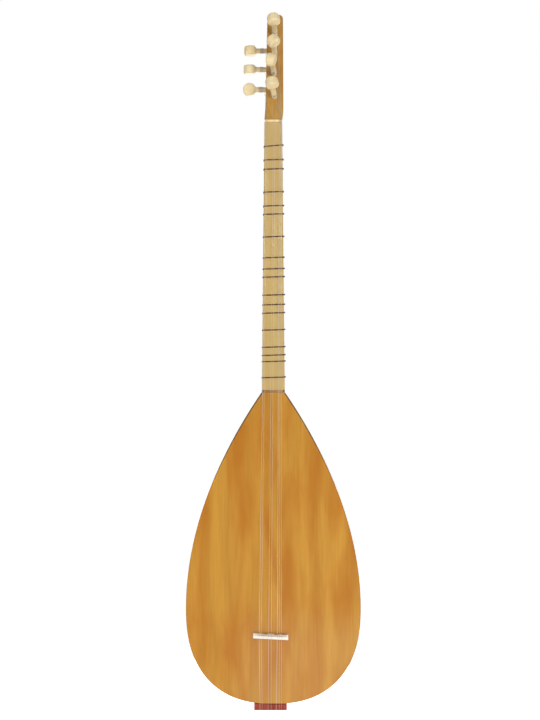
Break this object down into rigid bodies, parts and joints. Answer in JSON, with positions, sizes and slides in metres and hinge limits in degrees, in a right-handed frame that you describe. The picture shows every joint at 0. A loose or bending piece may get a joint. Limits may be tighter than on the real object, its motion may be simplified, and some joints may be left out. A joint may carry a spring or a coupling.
{
  "type": "baglama",
  "caption": "Short-necked lute with a staved pear bowl, flat soundboard, long thin neck, tied movable frets, turning friction pegs and a sliding bridge.",
  "frame": {"origin": "middle of the fingerboard's face at the nut", "axes": "+Z along the neck towards the peghead, -Y out of the soundboard, +X to the right seen from the front"},
  "size_m": [0.2378, 0.1662, 0.966],
  "materials": {
    "neck": "satin pale beech",
    "fingerboard": "satin pale beech",
    "end_strip": "satin",
    "nut": "satin bone white",
    "peghead": "lacquered beech",
    "peg": "polished boxwood",
    "stave_dark": "lacquered walnut",
    "stave_light": "lacquered mahogany",
    "soundboard": "amber lacquered spruce",
    "block": "raw spruce",
    "bridge": "raw white hornbeam",
    "tailpiece": "oiled red hardwood",
    "steel": "bright",
    "fret_line": "dark nylon line"
  },
  "bodies": {
    "body": {"neck": "neck", "fingerboard": "fingerboard", "end_strip": "end_strip", "nut": "nut", "peghead": "peghead", "bowl_stave_1": "stave_dark", "bowl_stave_2": "stave_light", "bowl_stave_3": "stave_dark", "bowl_stave_4": "stave_light", "bowl_stave_5": "stave_dark", "bowl_stave_6": "stave_light", "bowl_stave_7": "stave_dark", "bowl_stave_8": "stave_light", "bowl_stave_9": "stave_dark", "soundboard": "soundboard", "neck_block": "block", "tail_block": "block", "soundboard_brace": "block", "tailpiece": "tailpiece", "tail_pin_1": "steel", "tail_pin_2": "steel", "tail_pin_3": "steel", "tail_pin_4": "steel", "tail_pin_5": "steel", "tail_pin_6": "steel", "tail_pin_7": "steel", "string_1": "steel", "string_2": "steel", "string_3": "steel", "string_4": "steel", "string_5": "steel", "string_6": "steel", "string_7": "steel"},
    "front_peg_1": {"front_peg_1": "peg"},
    "front_peg_2": {"front_peg_2": "peg"},
    "front_peg_3": {"front_peg_3": "peg"},
    "front_peg_4": {"front_peg_4": "peg"},
    "side_peg_1": {"side_peg_1": "peg"},
    "side_peg_2": {"side_peg_2": "peg"},
    "side_peg_3": {"side_peg_3": "peg"},
    "bridge": {"bridge": "bridge"},
    "fret_01": {"fret_01": "fret_line"},
    "fret_02": {"fret_02": "fret_line"},
    "fret_03": {"fret_03": "fret_line"},
    "fret_04": {"fret_04": "fret_line"},
    "fret_05": {"fret_05": "fret_line"},
    "fret_06": {"fret_06": "fret_line"},
    "fret_07": {"fret_07": "fret_line"},
    "fret_08": {"fret_08": "fret_line"},
    "fret_09": {"fret_09": "fret_line"},
    "fret_10": {"fret_10": "fret_line"},
    "fret_11": {"fret_11": "fret_line"},
    "fret_12": {"fret_12": "fret_line"},
    "fret_13": {"fret_13": "fret_line"},
    "fret_14": {"fret_14": "fret_line"},
    "fret_15": {"fret_15": "fret_line"},
    "fret_16": {"fret_16": "fret_line"},
    "fret_17": {"fret_17": "fret_line"},
    "fret_18": {"fret_18": "fret_line"}
  },
  "joints": [
    {"name": "front_peg_1_turn", "type": "hinge", "parent": "body", "child": "front_peg_1", "pos_m": [0.0018, 0.01097, 0.03556], "axis": [-0.1045, -0.9458, 0.3073], "continuous": true},
    {"name": "front_peg_2_turn", "type": "hinge", "parent": "body", "child": "front_peg_2", "pos_m": [0.0015, 0.0221, 0.0698], "axis": [-0.1219, -0.944, 0.3067], "continuous": true},
    {"name": "front_peg_3_turn", "type": "hinge", "parent": "body", "child": "front_peg_3", "pos_m": [0.0025, 0.03099, 0.09719], "axis": [-0.0698, -0.9487, 0.3083], "continuous": true},
    {"name": "front_peg_4_turn", "type": "hinge", "parent": "body", "child": "front_peg_4", "pos_m": [0.0028, 0.04166, 0.13], "axis": [-0.0698, -0.9487, 0.3083], "continuous": true},
    {"name": "side_peg_1_turn", "type": "hinge", "parent": "body", "child": "side_peg_1", "pos_m": [-0.01024, 0.02624, 0.04869], "axis": [-1, 0, 0], "continuous": true},
    {"name": "side_peg_2_turn", "type": "hinge", "parent": "body", "child": "side_peg_2", "pos_m": [-0.00964, 0.03612, 0.07912], "axis": [-1, 0, 0], "continuous": true},
    {"name": "side_peg_3_turn", "type": "hinge", "parent": "body", "child": "side_peg_3", "pos_m": [-0.00907, 0.04536, 0.10756], "axis": [-1, 0, 0], "continuous": true},
    {"name": "bridge_slide", "type": "slide", "parent": "body", "child": "bridge", "axis": [0, 0, 1], "range_m": [-0.0015, 0.0015]},
    {"name": "fret_01_slide", "type": "slide", "parent": "body", "child": "fret_01", "axis": [0, 0, 1], "range_m": [-0.003, 0.003]},
    {"name": "fret_02_slide", "type": "slide", "parent": "body", "child": "fret_02", "axis": [0, 0, 1], "range_m": [-0.003, 0.003]},
    {"name": "fret_03_slide", "type": "slide", "parent": "body", "child": "fret_03", "axis": [0, 0, 1], "range_m": [-0.003, 0.003]},
    {"name": "fret_04_slide", "type": "slide", "parent": "body", "child": "fret_04", "axis": [0, 0, 1], "range_m": [-0.003, 0.003]},
    {"name": "fret_05_slide", "type": "slide", "parent": "body", "child": "fret_05", "axis": [0, 0, 1], "range_m": [-0.003, 0.003]},
    {"name": "fret_06_slide", "type": "slide", "parent": "body", "child": "fret_06", "axis": [0, 0, 1], "range_m": [-0.003, 0.003]},
    {"name": "fret_07_slide", "type": "slide", "parent": "body", "child": "fret_07", "axis": [0, 0, 1], "range_m": [-0.003, 0.003]},
    {"name": "fret_08_slide", "type": "slide", "parent": "body", "child": "fret_08", "axis": [0, 0, 1], "range_m": [-0.003, 0.003]},
    {"name": "fret_09_slide", "type": "slide", "parent": "body", "child": "fret_09", "axis": [0, 0, 1], "range_m": [-0.003, 0.003]},
    {"name": "fret_10_slide", "type": "slide", "parent": "body", "child": "fret_10", "axis": [0, 0, 1], "range_m": [-0.003, 0.003]},
    {"name": "fret_11_slide", "type": "slide", "parent": "body", "child": "fret_11", "axis": [0, 0, 1], "range_m": [-0.003, 0.003]},
    {"name": "fret_12_slide", "type": "slide", "parent": "body", "child": "fret_12", "axis": [0, 0, 1], "range_m": [-0.003, 0.003]},
    {"name": "fret_13_slide", "type": "slide", "parent": "body", "child": "fret_13", "axis": [0, 0, 1], "range_m": [-0.003, 0.003]},
    {"name": "fret_14_slide", "type": "slide", "parent": "body", "child": "fret_14", "axis": [0, 0, 1], "range_m": [-0.003, 0.003]},
    {"name": "fret_15_slide", "type": "slide", "parent": "body", "child": "fret_15", "axis": [0, 0, 1], "range_m": [-0.003, 0.003]},
    {"name": "fret_16_slide", "type": "slide", "parent": "body", "child": "fret_16", "axis": [0, 0, 1], "range_m": [-0.002, 0.002]},
    {"name": "fret_17_slide", "type": "slide", "parent": "body", "child": "fret_17", "axis": [0, 0, 1], "range_m": [-0.002, 0.002]},
    {"name": "fret_18_slide", "type": "slide", "parent": "body", "child": "fret_18", "axis": [0, 0, 1], "range_m": [-0.003, 0.003]}
  ]
}
